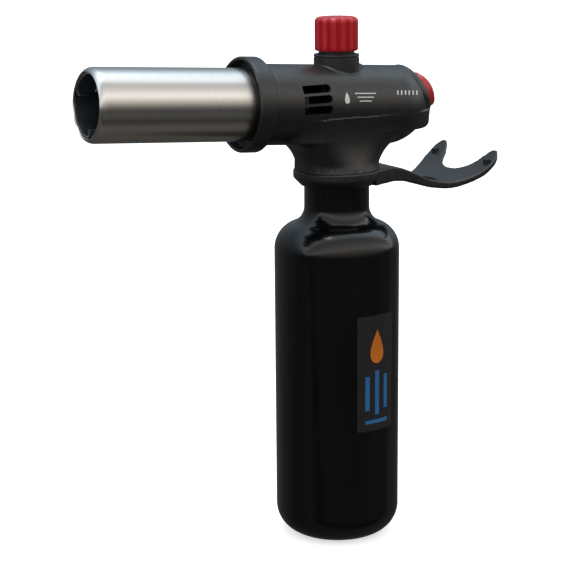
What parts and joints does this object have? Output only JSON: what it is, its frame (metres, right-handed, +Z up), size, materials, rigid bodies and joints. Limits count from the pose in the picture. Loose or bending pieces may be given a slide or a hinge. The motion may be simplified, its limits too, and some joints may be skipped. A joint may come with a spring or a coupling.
{
  "type": "butane torch",
  "caption": "Hand-held jewellery torch: a gas canister with a clamped burner head, gas knob, spark button and a forked rear stand.",
  "frame": {"origin": "centre of the canister's foot, on the plane it stands on", "axes": "+Z up the canister axis, -X towards the burner's mouth, +X towards the fork, Y across"},
  "size_m": [0.1718, 0.0501, 0.21],
  "materials": {
    "gloss_black_canister": "gloss black lacquer over drawn aluminium",
    "label_film": "printed film, blue and orange on dark grey",
    "brass": "turned",
    "steel_small": "bright",
    "seal_rubber": "matte",
    "stand_paint": "satin dark grey paint on a die casting",
    "white_plastic": "natural acetal",
    "housing_plastic": "satin charcoal moulding",
    "plated_nut": "zinc plated",
    "copper_pipe": null,
    "burner_steel": "brushed round the tube",
    "ceramic": null,
    "lead_rubber": "silicone sleeve",
    "piezo_case": "moulded",
    "red_knob": "satin red moulding",
    "red_button": "satin red moulding"
  },
  "bodies": {
    "root": {"canister": "gloss_black_canister", "label_panel": "label_film", "refill_valve_body": "brass", "refill_valve_spring": "steel_small", "refill_valve_gasket": "seal_rubber", "stand_friction_washer": "white_plastic", "housing_left": "housing_plastic", "housing_right": "housing_plastic", "housing_screws": "steel_small", "knob_sleeve": "housing_plastic", "front_collar": "housing_plastic", "neck_adapter": "brass", "neck_clamp_nut": "plated_nut", "neck_o_ring": "seal_rubber", "pickup_tube": "white_plastic", "pickup_filter": "brass", "gas_valve_body": "brass", "packing_nut": "brass", "gas_pipe": "copper_pipe", "nozzle_holder": "brass", "jet_nozzle": "brass", "mixing_tube": "burner_steel", "tube_carrier": "burner_steel", "flame_holder": "burner_steel", "burner_tube": "burner_steel", "flame_vanes": "burner_steel", "electrode": "steel_small", "electrode_insulator": "ceramic", "ignition_lead": "lead_rubber", "piezo_igniter": "piezo_case"},
    "stand": {"stand_ring_and_fork": "stand_paint", "stand_foot_pegs": "seal_rubber"},
    "knob": {"gas_knob": "red_knob", "valve_spindle": "steel_small", "spindle_o_ring": "seal_rubber"},
    "igniter": {"igniter_button": "red_button", "piezo_plunger": "white_plastic"},
    "refill_stem": {"refill_valve_stem": "steel_small"}
  },
  "joints": [
    {"name": "stand_swivel", "type": "hinge", "parent": "root", "child": "stand", "pos_m": [0, 0, 0.148], "axis": [0, 0, 1], "continuous": true},
    {"name": "knob_turn", "type": "hinge", "parent": "root", "child": "knob", "pos_m": [0, 0, 0.19], "axis": [0, 0, 1], "range_deg": [0, 360]},
    {"name": "button_press", "type": "slide", "parent": "root", "child": "igniter", "axis": [-0.9033, 0, -0.4289], "range_m": [0, 0.0035], "stiffness_N_per_m": 200, "springref_m": -0.004},
    {"name": "refill_push", "type": "slide", "parent": "root", "child": "refill_stem", "axis": [0, 0, 1], "range_m": [0, 0.0015], "stiffness_N_per_m": 100, "springref_m": -0.003, "deforming": ["refill_valve_spring"]}
  ]
}
